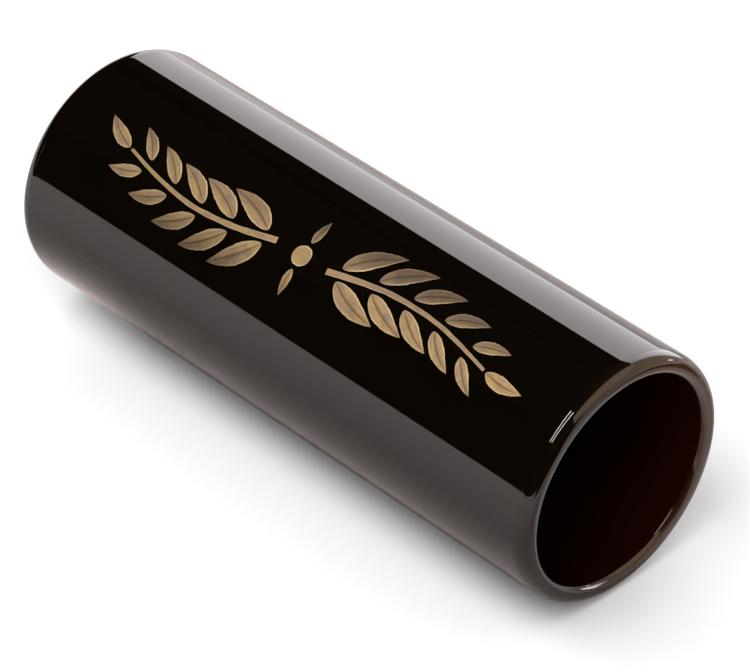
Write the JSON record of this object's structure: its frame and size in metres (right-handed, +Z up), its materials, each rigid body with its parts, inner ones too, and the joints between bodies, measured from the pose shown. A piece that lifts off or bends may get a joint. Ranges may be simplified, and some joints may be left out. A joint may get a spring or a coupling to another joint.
{
  "type": "guitar slide",
  "caption": "Straight open-ended tube of glossy black glass with rounded fire-polished lips and a gold leaf-sprig print, worn on a finger to slide along guitar strings.",
  "frame": {"origin": "on the table under the middle of the tube, where its lowest flat rests", "axes": "+X along the tube's axis towards the near open end, +Z up, the print on the -Y and upper side"},
  "size_m": [0.069, 0.025, 0.0251],
  "materials": {
    "black_glass": "fire-polished gloss, opaque black with a deep red-brown cast",
    "fired_gold": "satin fired gold print"
  },
  "bodies": {
    "root": {"glass_tube": "black_glass", "gold_berry": "fired_gold", "gold_far_leaf_1_lower": "fired_gold", "gold_far_leaf_1_upper": "fired_gold", "gold_far_leaf_2_lower": "fired_gold", "gold_far_leaf_2_upper": "fired_gold", "gold_far_leaf_3_lower": "fired_gold", "gold_far_leaf_3_upper": "fired_gold", "gold_far_leaf_4_lower": "fired_gold", "gold_far_leaf_4_upper": "fired_gold", "gold_far_leaf_5_lower": "fired_gold", "gold_far_leaf_5_upper": "fired_gold", "gold_far_leaf_tip": "fired_gold", "gold_far_stem": "fired_gold", "gold_near_leaf_1_lower": "fired_gold", "gold_near_leaf_1_upper": "fired_gold", "gold_near_leaf_2_lower": "fired_gold", "gold_near_leaf_2_upper": "fired_gold", "gold_near_leaf_3_lower": "fired_gold", "gold_near_leaf_3_upper": "fired_gold", "gold_near_leaf_4_lower": "fired_gold", "gold_near_leaf_4_upper": "fired_gold", "gold_near_leaf_5_lower": "fired_gold", "gold_near_leaf_5_upper": "fired_gold", "gold_near_leaf_tip": "fired_gold", "gold_near_stem": "fired_gold", "gold_petal_lower": "fired_gold", "gold_petal_upper": "fired_gold"}
  },
  "joints": []
}
